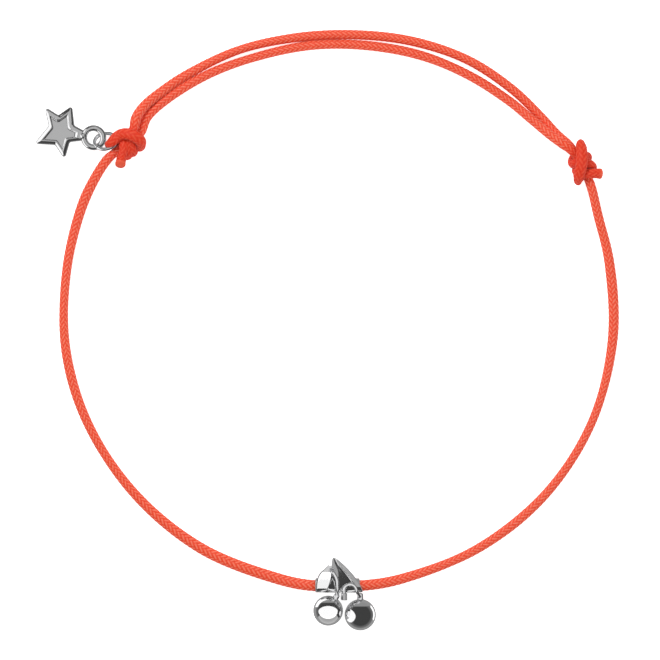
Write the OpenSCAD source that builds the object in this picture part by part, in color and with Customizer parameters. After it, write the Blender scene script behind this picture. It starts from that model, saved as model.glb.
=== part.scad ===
// A bracelet of braided cord that closes with two sliding knots.
// A leaf-and-cherries charm hangs on it, and a star tag is tied into its left knot.
// Millimetres. The bracelet lies on the plane z = 0, with the middle of its loop at the origin.

/* [Cord] */
// Diameter of the braided cord
cord_d = 1.2; // [1.15:0.01:1.2]
// How far the cord inside a knot is squeezed, as a share of its diameter
core_squeeze = 0.9; // [0.85:0.01:0.92]
// Thickness of a tied turn, as a share of the cord's diameter
turn_thick = 0.76; // [0.6:0.01:0.78]
// Width of a tied turn, as a share of the cord's diameter
turn_wide = 0.94; // [0.8:0.01:0.96]

/* [Knots] */
// Middle of the left knot
left_knot_x = -25.7; // [-25.75:0.01:-25.65]
left_knot_y = 19.8; // [19.75:0.01:19.85]
// Way that the cord runs through the left knot, from its two strands to its one
left_knot_turn = 218; // [217:0.5:219]
// Middle of the right knot
right_knot_x = 28.7; // [28.65:0.01:28.75]
right_knot_y = 17.6; // [17.55:0.01:17.65]
// Way that the cord runs through the right knot, from its two strands to its one
right_knot_turn = -62; // [-63:0.5:-61]

/* [Leaf and bail] */
// Length of the tube that the cord runs through
bail_length = 5.3; // [5:0.1:5.4]
// Outer diameter of that tube
bail_d = 1.9; // [1.85:0.01:1.95]
// Bore of that tube
bail_bore = 1.48; // [1.46:0.01:1.5]
// Height of the leaf's domed half above its edge
leaf_dome = 0.72; // [0.5:0.02:0.74]
// Height of the leaf's raised rim above its edge
leaf_rim = 0.42; // [0.34:0.02:0.44]

/* [Cherries] */
// Diameter of the left ball
left_ball_d = 3.57; // [3.5:0.01:3.6]
// Diameter of the right ball
right_ball_d = 3.74; // [3.7:0.01:3.76]
// Diameter of the collar on each ball
collar_d = 0.72; // [0.6:0.01:0.72]
// Diameter of the left ball's stem
left_stem_d = 0.5; // [0.4:0.01:0.5]
// Diameter of the right ball's stem
right_stem_d = 0.38; // [0.3:0.01:0.38]

/* [Star tag] */
// Thickness of the star
star_thick = 1; // [0.95:0.05:1.05]
// Share of the star's outline that is left at its flat faces
star_face = 0.66; // [0.6:0.01:0.7]
// Roundness of the star's tips and notches
star_round = 0.28; // [0.2:0.01:0.3]
// Radius of the eyelet's ring, to the middle of its wire
eyelet_r = 1.16; // [1.15:0.01:1.17]
// Diameter of the eyelet's wire
eyelet_wire = 0.72; // [0.68:0.01:0.73]

/* [Jump ring] */
// Radius of the jump ring, to the middle of its wire
ring_r = 1.31; // [1.3:0.01:1.32]
// Diameter of the jump ring's wire
ring_wire = 0.42; // [0.4:0.01:0.42]

/* [Hidden] */

CORD_COLOUR = "#ec543a";
SILVER = "#c9cacc";
CORD_SIDES = 8;
WIRE_SIDES = 8;
ROUND = 48;
JOINT_GAP = 0.03;
CUT = 0.2;

// Height of the cord's middle where it lies flat, and inside a knot
lying_z = cord_d / 2;
knot_z = 1.27 * cord_d;

left_knot_at = [left_knot_x, left_knot_y, knot_z];
right_knot_at = [right_knot_x, right_knot_y, knot_z];

// The bail tube lies along X, its lower side on the plane
bail_at = [-0.3, -33.06, bail_d / 2];

// Each knot's tied strand, in cylinder coordinates about the cord that it grips.
// turn: degrees from the top towards the side where the end comes out
// out: distance from the gripped cord's middle, in cord diameters
// along: place along the gripped cord, in cord diameters, from two strands to one
// The first rows are each knot's own, where the loose strand comes in.
LEFT_ENTRY = [
    [-62, 1.80, -1.90],
    [-52, 1.68, -1.35]
];
RIGHT_ENTRY = [
    [-46, 1.50, -2.20],
    [-48, 1.64, -1.45]
];
// turn, out, along
TIED_TURNS = [
    [-40, 1.62, -0.88],
    [-25, 1.47, -0.46],
    [-5, 1.12, -0.11],
    [25, 0.89, 0.16],
    [60, 0.88, 0.30],
    [100, 0.90, 0.42],
    [140, 0.88, 0.60],
    [180, 0.88, 0.80],
    [220, 0.88, 0.98],
    [252, 1.04, 1.14],
    [278, 1.48, 1.30],
    [300, 1.60, 1.28],
    [320, 1.62, 1.05],
    [340, 1.74, 0.70],
    [360, 1.79, 0.22],
    [380, 1.79, -0.30],
    [400, 1.70, -0.85],
    [418, 1.46, -1.32],
    [438, 1.16, -1.62],
    [462, 0.92, -1.74],
    [500, 0.88, -1.70],
    [540, 0.88, -1.60],
    [580, 0.88, -1.45],
    [620, 0.88, -1.30],
    [655, 0.88, -1.18],
    [690, 0.88, -1.08],
    [720, 0.88, -1.00],
    [755, 0.88, -0.90],
    [790, 0.88, -0.79],
    [825, 0.89, -0.70],
    [860, 0.88, -0.58],
    [900, 0.88, -0.46],
    [940, 0.88, -0.36],
    [978, 0.88, -0.24],
    [1005, 0.88, -0.06],
    [1030, 0.88, 0.28],
    [1055, 0.88, 0.72],
    [1080, 0.90, 1.08],
    [1105, 0.95, 1.30],
    [1130, 1.05, 1.55],
    [1145, 1.18, 1.85]
];

// Where the gripped cord is held straight in each knot, in cord diameters along it
GRIPPED = [-1.8, -0.6, 0.8, 2.2];

// The lying cord's route, seen from above.
// angle: degrees about the middle of the loop, from +X towards +Y
// radius: distance from the middle of the loop
// lift: how far it is raised above where it lies flat
OUTER_STRAND = [
    [134, 34.0, 1.30],
    [129, 34.0, 0.60],
    [122, 33.8, 0.10],
    [111, 33.5, 0],
    [99, 33.2, 0],
    [87, 33.2, 0],
    [75, 33.4, 0],
    [63, 33.8, 0],
    [52, 33.6, 0],
    [44, 33.5, 0.15],
    [39, 33.5, 0.55]
];
RIGHT_SIDE = [
    [20, 33.0, 0.35],
    [10, 32.8, 0],
    [-6, 32.9, 0],
    [-24, 33.0, 0],
    [-42, 33.0, 0],
    [-60, 33.0, 0],
    [-77, 33.1, 0.10]
];
LEFT_SIDE = [
    [-103, 33.1, 0.10],
    [-120, 33.0, 0],
    [-138, 33.0, 0],
    [-156, 33.2, 0],
    [-172, 33.3, 0],
    [-188, 33.2, 0],
    [-201, 33.4, 0.10],
    [-208, 33.4, 0.50]
];
INNER_STRAND = [
    [135, 32.6, 0.55],
    [129, 32.8, 0.15],
    [119, 32.4, 0],
    [108, 32.1, 0],
    [96, 31.9, 0],
    [84, 31.9, 0],
    [72, 32.1, 0],
    [61, 32.2, 0],
    [51, 32.3, 0.15],
    [45, 32.4, 0.75],
    [40, 32.7, 1.55]
];

// A spline through four points, worked out in steps as long as the root of each gap
function mix(a, b, ta, tb, t) = a * (tb - t) / (tb - ta) + b * (t - ta) / (tb - ta);
function knot_step(a, b) = sqrt(norm(b - a));
function curve_at(p, share) =
    let (
        t1 = knot_step(p[0], p[1]),
        t2 = t1 + knot_step(p[1], p[2]),
        t3 = t2 + knot_step(p[2], p[3]),
        t = t1 + share * (t2 - t1),
        a1 = mix(p[0], p[1], 0, t1, t),
        a2 = mix(p[1], p[2], t1, t2, t),
        a3 = mix(p[2], p[3], t2, t3, t),
        b1 = mix(a1, a2, 0, t2, t),
        b2 = mix(a2, a3, t1, t3, t)
    )
    mix(b1, b2, t1, t2, t);
function span(pts, i) = [
    i > 0 ? pts[i - 1] : 2 * pts[0] - pts[1],
    pts[i],
    pts[i + 1],
    i + 2 < len(pts) ? pts[i + 2] : 2 * pts[i + 1] - pts[i]
];
function curve(pts, step, first, last) = concat(
    [for (i = [first : last - 1])
        let (parts = max(1, ceil(norm(pts[i + 1] - pts[i]) / step)))
        for (j = [0 : parts - 1]) curve_at(span(pts, i), j / parts)],
    [pts[last]]
);

function unit(v) = v / norm(v);
function across(v, along) = unit(v - (v * along) * along);
function heading(pts, i) =
    unit(pts[min(i + 1, len(pts) - 1)] - pts[max(i - 1, 0)]);

// A closed tube through rings, each ring's points in order round the tube
module tube(rings) {
    sides = len(rings[0]);
    last = len(rings) - 1;
    polyhedron(
        points = [for (ring = rings) for (p = ring) p],
        faces = concat(
            [[for (k = [0 : sides - 1]) k]],
            [for (i = [0 : last - 1]) for (k = [0 : sides - 1])
                let (
                    a = i * sides + k,
                    b = i * sides + (k + 1) % sides
                )
                each [[a, b + sides, b], [a, a + sides, b + sides]]],
            [[for (k = [sides - 1 : -1 : 0]) last * sides + k]]
        )
    );
}

// One ring round a point: half sizes along and across a chosen direction
function ring(at, along, towards, half_in, half_side, sides) =
    let (u = across(towards, along), v = cross(along, u))
    [for (k = [0 : sides - 1])
        let (a = -360 * (k + 0.5) / sides)
        at + half_in * cos(a) * u - half_side * sin(a) * v];

module round_tube(pts, d, sides) {
    tube([for (i = [0 : len(pts) - 1])
        ring(pts[i], heading(pts, i), [0, 0.01, 1], d / 2, d / 2, sides)]);
}

function polar_points(rows) = [for (r = rows)
    [r[1] * cos(r[0]), r[1] * sin(r[0]), lying_z + r[2]]];
function knot_along(turn) = [cos(turn), sin(turn), 0];
function knot_side(turn) = [-sin(turn), cos(turn), 0];
function gripped_points(at, turn) =
    [for (s = GRIPPED) at + s * cord_d * knot_along(turn)];
function reversed(rows) = [for (i = [len(rows) - 1 : -1 : 0]) rows[i]];
function tied_point(at, turn, row) =
    at + row[2] * cord_d * knot_along(turn)
    + row[1] * cord_d * (sin(row[0]) * knot_side(turn) + cos(row[0]) * [0, 0, 1]);
function tied_points(at, turn, entry) =
    [for (row = concat(entry, TIED_TURNS)) tied_point(at, turn, row)];

// The whole cord in order, from the left knot's end round the loop to the right knot's end
bail_points = [for (s = [0.62, 0, -0.62]) bail_at + [s * bail_length, 0, 0]];
left_points = reversed(tied_points(left_knot_at, left_knot_turn, LEFT_ENTRY));
right_points = tied_points(right_knot_at, right_knot_turn, RIGHT_ENTRY);
whole = concat(
    left_points,
    polar_points(OUTER_STRAND),
    gripped_points(right_knot_at, right_knot_turn),
    polar_points(RIGHT_SIDE),
    bail_points,
    polar_points(LEFT_SIDE),
    reversed(gripped_points(left_knot_at, left_knot_turn)),
    polar_points(INNER_STRAND),
    right_points
);
left_joint = len(left_points) - 1;
right_joint = len(whole) - len(right_points);
TIED_STEP = 0.62 * cord_d;
LOOSE_STEP = 3 * cord_d;
left_tied = reversed(curve(whole, TIED_STEP, 0, left_joint));
route = curve(whole, LOOSE_STEP, left_joint, right_joint);
right_tied = curve(whole, TIED_STEP, right_joint, len(whole) - 1);

// The way the cord runs where a tied strand takes over from it
left_way = unit(left_tied[1] - route[1]);
right_way = unit(right_tied[1] - route[len(route) - 2]);
function route_heading(i) =
    i == 0 ? -left_way : i == len(route) - 1 ? right_way : heading(route, i);
function knot_distance(p) =
    min(norm(p - left_knot_at), norm(p - right_knot_at)) / cord_d;
// The cord is slimmer where a knot grips it, but not where it lies beside the knot
function girth(p) = knot_distance(p) < 2 && p[2] < knot_z + 0.1 ? core_squeeze : 1;

module cord() {
    color(CORD_COLOUR)
    tube([for (i = [0 : len(route) - 1])
        ring(route[i], route_heading(i), [0, 0.01, 1],
            girth(route[i]) * cord_d / 2, girth(route[i]) * cord_d / 2, CORD_SIDES)]);
}

// The tied strand starts round and is then pressed flat against the cord that it grips
function pressed(i, share) = i < 3 ? 1 + (share - 1) * i / 3 : share;
module tied_strand(pts, way, at, turn) {
    axis = knot_along(turn);
    color(CORD_COLOUR)
    tube([for (i = [0 : len(pts) - 1])
        let (
            p = i == 0 ? pts[0] + JOINT_GAP * way : pts[i],
            outward = p - at - ((p - at) * axis) * axis
        )
        ring(p, i == 0 ? way : heading(pts, i), outward, pressed(i, turn_thick) * cord_d / 2,
            pressed(i, turn_wide) * cord_d / 2, CORD_SIDES)]);
}
module left_knot() {
    tied_strand(left_tied, left_way, left_knot_at, left_knot_turn);
}
module right_knot() {
    tied_strand(right_tied, right_way, right_knot_at, right_knot_turn);
}

// The leaf, cut across at each row.
// y: place of the cut
// left, rib, right: where its left edge, its middle rib and its right edge are
// rise: share of its full height there
// base: height of its edge
LEAF = [
    [-29.72, -0.98, -0.86, -0.66, 0.10, 1.55],
    [-30.00, -1.14, -1.00, -0.30, 0.35, 1.58],
    [-30.45, -1.26, -1.06, 0.14, 0.55, 1.66],
    [-30.95, -1.76, -1.05, 0.62, 0.75, 1.76],
    [-31.50, -2.40, -1.02, 1.12, 0.90, 1.88],
    [-32.10, -2.72, -1.06, 1.68, 1.00, 2.00],
    [-32.60, -2.84, -1.18, 2.08, 1.00, 2.08],
    [-33.05, -2.88, -1.34, 2.36, 0.95, 2.10],
    [-33.45, -2.90, -1.55, 2.58, 0.80, 2.00],
    [-33.78, -2.84, -1.85, 2.66, 0.50, 1.84]
];
leaf_depth = 0.14;
leaf_dish = 0.28;
rim_width = 0.6;
// Points across the left half: share of its width from the edge, share of the dome's height
LEFT_HALF = [[0, 0], [0.12, 0.5], [0.32, 0.88], [0.55, 1], [0.8, 0.86], [1, 0.62]];

// Points across the right half: share of its width, shares of the rim's width,
// of the dish's height and of the rim's height
RIGHT_HALF = [
    [0.06, 0, 1, 0],
    [0.55, -0.55, 0.5, 0],
    [1, -1.15, 1, 0],
    [1, -0.95, 0, 1],
    [1, -0.3, 0, 0.96],
    [1, 0, 0, 0.17]
];
// Points of the underside, from right to left: share of the width from the left edge to the
// right, and share of the depth
UNDERSIDE = [[0.97, 0.2], [0.4, 1], [0.06, 0.35]];

function leaf_cut(row) =
    let (
        y = row[0],
        left = row[1],
        rib = row[2],
        right = row[3],
        rise = row[4],
        base = row[5],
        rim = min(rim_width, 0.4 * (right - rib)),
        wide = right - rib
    )
    concat(
        [for (p = LEFT_HALF)
            [left + p[0] * (rib - left), y, base + p[1] * rise * leaf_dome]],
        [for (p = RIGHT_HALF)
            let (x = p[0] * wide + p[1] * rim)
            [rib + x, y, base + rise * (p[2] * leaf_dish + p[3] * leaf_rim)]],
        [for (p = UNDERSIDE)
            [left + p[0] * (right - left), y, base - p[1] * leaf_depth * rise]]
    );

stem_seat = [-0.95, -31.25];
seat_r = 0.42;
seat_from = 1.8;
seat_top = 2.32;
seat_floor = 1.95;
sleeve_x = 0.46;
sleeve_r = 0.38;
sleeve_from = -34.66;
sleeve_to = -33.84;
arch_z = 2.7;
fit_gap = 0.06;
// The tab joins the sleeve to the front of the tube
tab_wide = 0.5;
tab_deep = 0.4;
tab_from = [sleeve_x - tab_wide / 2, -34.24, 1.1];
// The saddle joins the leaf's underside to the top of the tube
saddle_from = [-2.4, -33.41, 1.2];
saddle = [3, 0.7, 0.9];

module lying_cylinder(at, length, r) {
    translate(at) rotate([-90, 0, 0]) cylinder(h = length, r = r, $fn = ROUND);
}
module leaf_bail() {
    color(SILVER)
    difference() {
        union() {
            tube([for (row = reversed(LEAF)) leaf_cut(row)]);
            translate(bail_at - [bail_length / 2, 0, 0]) rotate([0, 90, 0])
                cylinder(h = bail_length, d = bail_d, $fn = ROUND);
            translate([stem_seat[0], stem_seat[1], seat_from])
                cylinder(h = seat_top - seat_from, r = seat_r, $fn = ROUND);
            translate(saddle_from) cube(saddle);
            lying_cylinder([sleeve_x, sleeve_from, arch_z], sleeve_to - sleeve_from, sleeve_r);
            translate(tab_from) cube([tab_wide, tab_deep, arch_z - sleeve_r / 2 - tab_from[2]]);
        }
        translate(bail_at - [bail_length / 2 + CUT, 0, 0]) rotate([0, 90, 0])
            cylinder(h = bail_length + 2 * CUT, d = bail_bore, $fn = ROUND);
        translate([stem_seat[0], stem_seat[1], seat_floor])
            cylinder(h = 1, r = left_stem_d / 2 + fit_gap, $fn = ROUND);
        lying_cylinder([sleeve_x, sleeve_from - CUT, arch_z],
            sleeve_to - sleeve_from + 2 * CUT, right_stem_d / 2 + fit_gap);
    }
}

left_ball_at = [-1.42, -36.02, left_ball_d / 2];
left_collar_way = unit([0.5, 0.866, 0.14]);
left_collar_reach = 2.3;
LEFT_STEM = [
    [-0.40, -34.20, 2.10],
    [-0.32, -33.85, 2.36],
    [-0.34, -33.40, 2.56],
    [-0.36, -32.90, 2.66],
    [-0.38, -32.45, 2.70],
    [-0.50, -32.00, 2.70],
    [-0.68, -31.66, 2.66],
    [-0.86, -31.39, 2.54],
    [-0.95, -31.26, 2.28],
    [-0.95, -31.25, 2.02]
];
module left_cherry() {
    color(SILVER)
    union() {
        translate(left_ball_at) sphere(d = left_ball_d, $fn = ROUND);
        rod(left_ball_at, left_collar_way, left_collar_reach, collar_d);
        round_tube(curve(LEFT_STEM, 0.3, 0, len(LEFT_STEM) - 1), left_stem_d, WIRE_SIDES);
    }
}

// A straight rod from a point, along a direction
module rod(at, way, reach, d) {
    lean = acos(way[2]);
    swing = atan2(way[1], way[0]);
    translate(at) rotate([0, lean, swing]) cylinder(h = reach, d = d, $fn = ROUND);
}

// The right ball hangs from a wire bent to an arch, one leg in the leaf's sleeve
right_ball_at = [2.42, -36.5, right_ball_d / 2];
right_collar_top = -33.9;
right_collar_lift = 0.14;
arch_r = 0.74;
arch_at = [sleeve_x + arch_r, -33.55, arch_z];
arch_end = arch_at + [arch_r, 0, 0];
leg_end = [2.38, -34.35, 2.3];
module right_cherry() {
    color(SILVER)
    union() {
        translate(right_ball_at) sphere(d = right_ball_d, $fn = ROUND);
        translate([0, 0, right_collar_lift])
            lying_cylinder(right_ball_at, right_collar_top - right_ball_at[1], collar_d / 2);
        translate(arch_at)
            rotate_extrude(angle = 180, $fn = ROUND)
            translate([arch_r, 0]) circle(d = right_stem_d, $fn = 24);
        lying_cylinder([sleeve_x, -34.5, arch_z], 0.95, right_stem_d / 2);
        translate(arch_end) sphere(d = right_stem_d, $fn = 24);
        rod(arch_end, unit(leg_end - arch_end), norm(leg_end - arch_end), right_stem_d);
    }
}

// The star tag lies tilted, its eyelet towards the knot
star_at = [-33.6, 21.48, 0.93];
star_swing = -11;
star_roll = 12;
eyelet_x = 4.09;
neck_r = 0.46;
// The star's corners, from the neck round to it again: the neck's two, then notch and tip in turn.
// angle: degrees from the neck
// reach: distance from the star's middle
STAR = [
    [11, 3.0],
    [33, 1.85],
    [75, 3.49],
    [106, 1.95],
    [132.5, 3.55],
    [165.5, 1.53],
    [216.5, 3.58],
    [259.5, 1.8],
    [288.5, 3.52],
    [321, 1.75],
    [349, 3.0]
];
module star_outline() {
    offset(r = -star_round) offset(r = 2 * star_round) offset(r = -star_round)
        polygon([for (p = STAR) p[1] * [cos(p[0]), sin(p[0])]]);
}
module star_half() {
    linear_extrude(height = star_thick / 2, scale = star_face, $fn = 32) star_outline();
}
module star_tag() {
    color(SILVER)
    translate(star_at) rotate([star_roll, 0, star_swing])
    union() {
        star_half();
        mirror([0, 0, 1]) star_half();
        rotate([0, 90, 0]) translate([0, 0, 1])
            cylinder(h = eyelet_x - eyelet_r - 1, r = neck_r, $fn = ROUND);
        translate([eyelet_x, 0, 0])
            rotate_extrude($fn = ROUND)
            translate([eyelet_r, 0]) circle(d = eyelet_wire, $fn = 24);
    }
}

// The jump ring runs through the eyelet and round the left knot's last turn
ring_at = [-28.15, 20.25, 1.26];
ring_swing = 145.8;
ring_dip = 28.9;
ring_twist = 28.8;
module jump_ring() {
    color(SILVER)
    translate(ring_at) rotate([0, 0, ring_swing]) rotate([0, ring_dip, 0])
        rotate([ring_twist, 0, 0])
        rotate_extrude($fn = ROUND)
        translate([ring_r, 0]) circle(d = ring_wire, $fn = 24);
}

cord();
left_knot();
right_knot();
leaf_bail();
left_cherry();
right_cherry();
star_tag();
jump_ring();
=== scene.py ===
"""A braided cord bracelet with a leaf-and-cherries charm and a star tag, seen from above."""
import math
import bpy
import numpy as np
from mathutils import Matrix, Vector


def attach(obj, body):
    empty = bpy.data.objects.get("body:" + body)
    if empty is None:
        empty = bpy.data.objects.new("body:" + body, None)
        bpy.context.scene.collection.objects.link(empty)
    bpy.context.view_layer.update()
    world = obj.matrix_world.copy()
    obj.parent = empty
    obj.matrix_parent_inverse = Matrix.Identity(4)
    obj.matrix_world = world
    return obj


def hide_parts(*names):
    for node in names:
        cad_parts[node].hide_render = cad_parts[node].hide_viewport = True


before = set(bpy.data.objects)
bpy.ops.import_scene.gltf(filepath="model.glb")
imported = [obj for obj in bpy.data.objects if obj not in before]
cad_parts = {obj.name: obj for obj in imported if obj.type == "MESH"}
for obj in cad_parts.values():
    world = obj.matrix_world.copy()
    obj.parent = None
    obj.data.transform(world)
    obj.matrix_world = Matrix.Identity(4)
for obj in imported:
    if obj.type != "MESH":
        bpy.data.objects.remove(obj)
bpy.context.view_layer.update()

MM = 0.001
TAU = 2 * math.pi
CORD_D = 1.2

# Camera: the picture is 79.2 mm wide at the plane of the cord's upper side
VIEW_WIDE = 79.2
CAMERA_LENS = 150.0
CAMERA_SENSOR = 36.0
VIEW_MIDDLE = (-1.2, -2.4)
camera_data = bpy.data.cameras.new("camera")
camera_data.lens = CAMERA_LENS
camera_data.sensor_width = CAMERA_SENSOR
camera_data.clip_start = 0.01
camera = bpy.data.objects.new("camera", camera_data)
bpy.context.collection.objects.link(camera)
camera.location = (VIEW_MIDDLE[0] * MM, VIEW_MIDDLE[1] * MM,
                   (VIEW_WIDE * CAMERA_LENS / CAMERA_SENSOR + CORD_D) * MM)
bpy.context.scene.camera = camera
bpy.context.scene.view_settings.view_transform = "Standard"

# The cord's route is the CAD's, but its strands lie up to 0.2 mm away to follow the photograph,
# and each knot is pulled tighter: its turns press into one another, as solids can't. Lengths are
# in millimetres
KNOT_Z = 1.27 * CORD_D
# Each knot's middle, and the way that it points in degrees
LEFT_KNOT = (np.array([-25.7, 19.8, KNOT_Z]), 218.0)
RIGHT_KNOT = (np.array([28.7, 17.6, KNOT_Z]), -62.0)
BAIL_AT = np.array([-0.3, -33.06, 0.95])
BAIL_LENGTH = 5.3
BAIL_D = 1.7
BAIL_BORE = 1.4

# Each knot's tied strand, from where it comes in to its end: degrees round the gripped cord,
# distance out from it and place along it, both in cord diameters
LEFT_TURNS = [
    (-58, 1.62, -2.45), (-42, 1.22, -1.80), (-25, 1.04, -1.30), (0, 0.95, -0.75),
    (25, 0.90, -0.20), (60, 0.98, 0.20), (100, 1.04, 0.50), (140, 0.92, 0.66),
    (180, 0.84, 0.78), (220, 0.84, 0.90), (252, 0.94, 1.08), (276, 1.06, 1.22),
    (298, 1.20, 1.22), (314, 1.38, 1.00), (319, 1.52, 0.62), (319, 1.60, 0.18),
    (322, 1.62, -0.26), (333, 1.66, -0.66), (348, 1.70, -1.04), (368, 1.66, -1.34),
    (392, 1.46, -1.40), (424, 1.24, -1.18), (462, 1.12, -0.98), (500, 1.00, -0.94),
    (540, 0.88, -0.90), (580, 0.84, -0.84), (620, 0.84, -0.76), (655, 0.84, -0.68),
    (690, 0.84, -0.60), (720, 0.88, -0.52), (755, 0.94, -0.40), (790, 1.08, -0.24),
    (825, 1.12, -0.08), (860, 1.04, 0.02), (900, 0.90, 0.10), (940, 0.86, 0.14),
    (978, 0.86, 0.12), (1005, 0.88, 0.06), (1030, 0.90, 0.00), (1055, 0.94, 0.02),
    (1080, 0.98, 0.16), (1102, 1.04, 0.48), (1118, 1.14, 0.88), (1126, 1.34, 1.22),
    (1128, 1.60, 1.46), (1127, 1.90, 1.64),
]
RIGHT_TURNS = [
    (-38, 1.12, -2.50), (-20, 1.00, -1.90), (-5, 0.96, -1.20), (10, 0.92, -0.50),
    (25, 0.92, 0.10), (60, 1.02, 0.62), (100, 1.06, 0.95), (140, 0.94, 1.08),
    (180, 0.84, 1.16), (220, 0.76, 1.26), (252, 0.84, 1.38), (278, 1.02, 1.48),
    (300, 1.18, 1.45), (320, 1.38, 1.22), (335, 1.55, 0.92), (349, 1.68, 0.56),
    (359, 1.74, 0.18), (368, 1.74, -0.26), (377, 1.68, -0.74), (387, 1.56, -1.18),
    (402, 1.36, -1.56), (430, 1.10, -1.62), (462, 1.00, -1.30), (500, 0.96, -1.06),
    (540, 0.82, -0.80), (580, 0.70, -0.56), (620, 0.68, -0.34), (655, 0.70, -0.22),
    (690, 0.78, -0.18), (720, 0.86, -0.18), (755, 0.94, -0.20), (790, 1.06, -0.22),
    (825, 1.08, -0.12), (860, 0.96, 0.06), (900, 0.82, 0.28), (940, 0.72, 0.44),
    (978, 0.70, 0.54), (1005, 0.74, 0.66), (1030, 0.80, 0.84), (1055, 0.88, 1.06),
    (1080, 0.94, 1.26), (1105, 1.02, 1.46), (1130, 1.16, 1.68), (1147, 1.52, 1.98),
]
# Where the gripped cord is straight: places along the knot, in cord diameters
GRIPPED = (-1.8, -0.6, 0.8, 2.2)
# Degrees about the loop's middle, radius, and lift above where the cord lies flat
OUTER_STRAND = [
    (134, 33.85, 1.30), (129, 33.83, 0.60), (122, 33.7, 0.10), (111, 33.53, 0), (99, 33.17, 0),
    (87, 33.14, 0), (75, 33.46, 0), (63, 33.76, 0), (52, 33.66, 0), (44, 33.5, 0.15),
    (39, 33.5, 0.55),
]
RIGHT_SIDE = [
    (20, 33.0, 0.35), (10, 32.88, 0), (-6, 32.97, 0), (-24, 33.15, 0), (-42, 33.18, 0),
    (-60, 33.12, 0), (-77, 33.14, 0.10),
]
LEFT_SIDE = [
    (-103, 33.14, 0.10), (-120, 33.15, 0), (-138, 33.12, 0), (-156, 33.24, 0), (-172, 33.3, 0),
    (-188, 33.2, 0), (-201, 33.4, 0.10), (-208, 33.4, 0.50),
]
INNER_STRAND = [
    (135, 32.75, 0.55), (129, 32.8, 0.15), (119, 32.46, 0), (108, 32.05, 0), (96, 32.01, 0),
    (84, 31.96, 0), (72, 32.12, 0), (61, 32.2, 0), (51, 32.32, 0.15), (45, 32.4, 0.75),
    (40, 32.7, 1.55),
]
# The cord is pressed a little oval: degrees about the loop's middle, and the share of its width
CORD_OVAL = [
    (39, 0.95), (44, 0.92), (56, 0.95), (66, 0.93), (73, 0.97), (98, 0.96), (104, 0.90),
    (111, 0.86), (118, 0.92), (126, 1.0), (150, 1.0), (156, 1.07), (168, 0.96), (180, 0.89),
    (194, 1.0), (212, 0.91), (228, 1.02), (240, 1.12), (256, 1.16), (278, 1.08), (294, 0.90),
    (310, 0.98), (326, 0.87), (342, 0.86), (356, 1.04), (366, 1.06), (375, 0.96), (399, 0.95),
]


def unit(v):
    return v / np.linalg.norm(v, axis=-1, keepdims=True)


def square_to(rows, heads):
    """Each row less its part along its heading."""
    return rows - heads * np.sum(rows * heads, axis=1, keepdims=True)


def curve_span(p, shares):
    """The CAD's spline between the middle two of four points."""
    t0 = 0.0
    t1 = math.sqrt(np.linalg.norm(p[1] - p[0]))
    t2 = t1 + math.sqrt(np.linalg.norm(p[2] - p[1]))
    t3 = t2 + math.sqrt(np.linalg.norm(p[3] - p[2]))
    t = (t1 + shares * (t2 - t1))[:, None]

    def mix(a, b, ta, tb):
        return (a * (tb - t) + b * (t - ta)) / (tb - ta)
    a1, a2, a3 = mix(p[0], p[1], t0, t1), mix(p[1], p[2], t1, t2), mix(p[2], p[3], t2, t3)
    return mix(mix(a1, a2, t0, t2), mix(a2, a3, t1, t3), t1, t2)


def curve(points, steps):
    """Dense points along the spline: so many from each given point to the next."""
    pts = np.array(points, float)
    pts = np.vstack([2 * pts[0] - pts[1], pts, 2 * pts[-1] - pts[-2]])
    shares = np.arange(steps) / steps
    rows = [curve_span(pts[i:i + 4], shares) for i in range(len(pts) - 3)]
    return np.vstack(rows + [pts[-2:-1]])


def lengths(pts):
    return np.concatenate([[0], np.cumsum(np.linalg.norm(np.diff(pts, axis=0), axis=1))])


def at_lengths(pts, along, wanted):
    return np.stack([np.interp(wanted, along, pts[:, k]) for k in range(pts.shape[1])], axis=1)


def knot_axes(knot):
    turn = math.radians(knot[1])
    return (np.array([math.cos(turn), math.sin(turn), 0]),
            np.array([-math.sin(turn), math.cos(turn), 0]))


def tied_points(knot, turns):
    way, side = knot_axes(knot)
    up = np.array([0, 0, 1.0])
    return [knot[0] + along * CORD_D * way + out * CORD_D * (
        math.sin(math.radians(turn)) * side + math.cos(math.radians(turn)) * up)
        for turn, out, along in turns]


def gripped_points(knot):
    return [knot[0] + s * CORD_D * knot_axes(knot)[0] for s in GRIPPED]


def polar_points(rows):
    return [np.array([r * math.cos(math.radians(a)), r * math.sin(math.radians(a)),
                      CORD_D / 2 + lift]) for a, r, lift in rows]


left_points = tied_points(LEFT_KNOT, LEFT_TURNS)[::-1]
right_points = tied_points(RIGHT_KNOT, RIGHT_TURNS)
whole = (left_points + polar_points(OUTER_STRAND) + gripped_points(RIGHT_KNOT)
         + polar_points(RIGHT_SIDE)
         + [BAIL_AT + np.array([s * BAIL_LENGTH, 0, 0]) for s in (0.62, 0, -0.62)]
         + polar_points(LEFT_SIDE) + gripped_points(LEFT_KNOT)[::-1]
         + polar_points(INNER_STRAND) + right_points)
STEPS = 24
dense = curve(whole, STEPS)
dense_along = lengths(dense)
CORD_LENGTH = dense_along[-1]
LEFT_JOINT = dense_along[(len(left_points) - 1) * STEPS]
RIGHT_JOINT = dense_along[(len(whole) - len(right_points)) * STEPS]

# The braid: sixteen strands, eight each way, over two and under two. Its crevices are RELIEF
# deep, and FLOAT_LIFT, FLOAT_FLAT and ROUNDNESS shape the float that shows of each strand
PITCH = 5.04
HALF_STRANDS = 8
RELIEF = 0.075
TIED_RELIEF = 0.05
FLOAT_LIFT = 0.30
FLOAT_FLAT = 1.9
ROUNDNESS = 0.62
STRAND_HALF = 0.54
BRAID_TURN = 0.1
# Where the floats of each of the two ways have their middles, and the height of a usual crest
PLUS_MIDDLE = 0.5
MINUS_MIDDLE = 2.5
CREST = 0.92


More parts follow.
